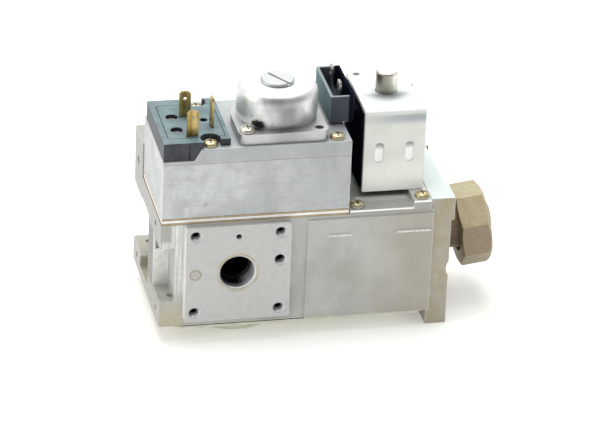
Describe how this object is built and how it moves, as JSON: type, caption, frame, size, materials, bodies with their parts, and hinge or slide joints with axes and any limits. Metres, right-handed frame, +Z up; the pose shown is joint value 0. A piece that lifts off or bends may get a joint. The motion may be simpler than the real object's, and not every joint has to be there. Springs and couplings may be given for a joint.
{
  "type": "gas valve",
  "caption": "Block-shaped gas control valve: cast body with side port pad and mounting lugs, servo regulator housing with dome, safety solenoid and union nut inlet.",
  "frame": {"origin": "under the middle of the bounding box, on the plane the valve stands on", "axes": "+X along the body towards the union nut inlet, +Y from the port pad face to the back, +Z up"},
  "size_m": [0.1534, 0.0678, 0.1139],
  "materials": {
    "cast_body": "as-cast, lightly machined faces",
    "housing_casting": "as-cast, satin",
    "dome_metal": "turned, satin",
    "bright_zinc": "bright zinc plate",
    "yellow_zinc": "yellow passivated zinc",
    "steel": "bright",
    "brass": "dull, as machined",
    "blade_brass": "tarnished",
    "tin": "tinned",
    "fibre": "brown fibre sheet",
    "black_rubber": "matt",
    "connector_plastic": "moulded",
    "coil_plastic": "moulded",
    "winding": "lacquered winding"
  },
  "bodies": {
    "valve_body": {"bonnet_screw_thick_1": "yellow_zinc", "bonnet_screw_thick_2": "yellow_zinc", "bonnet_screw_thin_1": "yellow_zinc", "bonnet_screw_thin_2": "yellow_zinc", "bottom_cover": "yellow_zinc", "bottom_screw_1": "yellow_zinc", "bottom_screw_2": "yellow_zinc", "bottom_screw_3": "yellow_zinc", "bottom_screw_4": "yellow_zinc", "channel_plate": "bright_zinc", "coil_blade_back": "tin", "coil_blade_front": "tin", "connector_block": "connector_plastic", "contact_pin_back": "tin", "contact_pin_front": "tin", "core_tube": "steel", "dome_cover": "dome_metal", "dome_screw": "steel", "housing_cover": "housing_casting", "housing_screw_1": "yellow_zinc", "housing_screw_2": "yellow_zinc", "housing_screw_3": "yellow_zinc", "housing_screw_4": "yellow_zinc", "inlet_ring": "black_rubber", "inlet_strainer": "steel", "inlet_tail": "brass", "lower_gasket": "fibre", "main_body": "cast_body", "main_diaphragm": "black_rubber", "main_valve_spring": "steel", "regulator_membrane": "black_rubber", "regulator_spring": "steel", "safety_spring": "steel", "sealing_plug": "steel", "servo_coil": "winding", "servo_housing": "housing_casting", "servo_spring": "steel", "solenoid_bonnet": "housing_casting", "solenoid_coil": "coil_plastic", "solenoid_yoke": "bright_zinc", "terminal_blade_back": "blade_brass", "terminal_blade_front": "blade_brass", "terminal_blade_side": "blade_brass", "upper_gasket": "fibre"},
    "safety_valve": {"safety_plunger": "steel", "safety_seal": "black_rubber"},
    "main_valve": {"main_valve_stem": "steel", "main_valve_disc": "steel", "main_valve_seal": "black_rubber"},
    "servo_armature": {"servo_plunger": "steel"},
    "regulator_piston": {"regulator_plate": "steel"},
    "adjuster": {"pressure_adjuster": "connector_plastic"},
    "seat": {"spring_seat": "steel"},
    "cap": {"dome_cap": "steel"},
    "nut": {"union_nut": "brass"}
  },
  "joints": [
    {"name": "safety_valve_lift", "type": "slide", "parent": "valve_body", "child": "safety_valve", "axis": [0, 0, 1], "range_m": [0, 0.0035], "stiffness_N_per_m": 400, "springref_m": -0.006, "deforming": ["safety_spring"]},
    {"name": "main_valve_lift", "type": "slide", "parent": "valve_body", "child": "main_valve", "axis": [0, 0, 1], "range_m": [0, 0.004], "stiffness_N_per_m": 300, "springref_m": -0.006, "deforming": ["main_valve_spring"]},
    {"name": "servo_lift", "type": "slide", "parent": "valve_body", "child": "servo_armature", "axis": [0, 0, 1], "range_m": [0, 0.0015], "stiffness_N_per_m": 200, "springref_m": -0.003, "deforming": ["servo_spring"]},
    {"name": "regulator_lift", "type": "slide", "parent": "valve_body", "child": "regulator_piston", "axis": [0, 0, 1], "range_m": [0, 0.001], "stiffness_N_per_m": 500, "springref_m": -0.004, "deforming": ["regulator_spring"]},
    {"name": "seat_travel", "type": "slide", "parent": "valve_body", "child": "seat", "axis": [0, 0, 1], "range_m": [-0.003, 0], "deforming": ["regulator_spring"]},
    {"name": "adjuster_turn", "type": "hinge", "parent": "seat", "child": "adjuster", "pos_m": [-0.0236, -0.0096, 0.10695], "axis": [0, 0, 1], "range_deg": [-1080, 0]},
    {"name": "cap_turn", "type": "hinge", "parent": "valve_body", "child": "cap", "pos_m": [-0.0236, -0.0096, 0.11295], "axis": [0, 0, 1], "range_deg": [0, 1080]},
    {"name": "nut_spin", "type": "hinge", "parent": "valve_body", "child": "nut", "pos_m": [0.06795, 0.0009, 0.03232], "axis": [0.9914, 0, 0.1305], "continuous": true}
  ],
  "couplings": [
    {"joint": "adjuster_turn", "follows": "seat_travel", "rad_per_m": 6283.2}
  ]
}
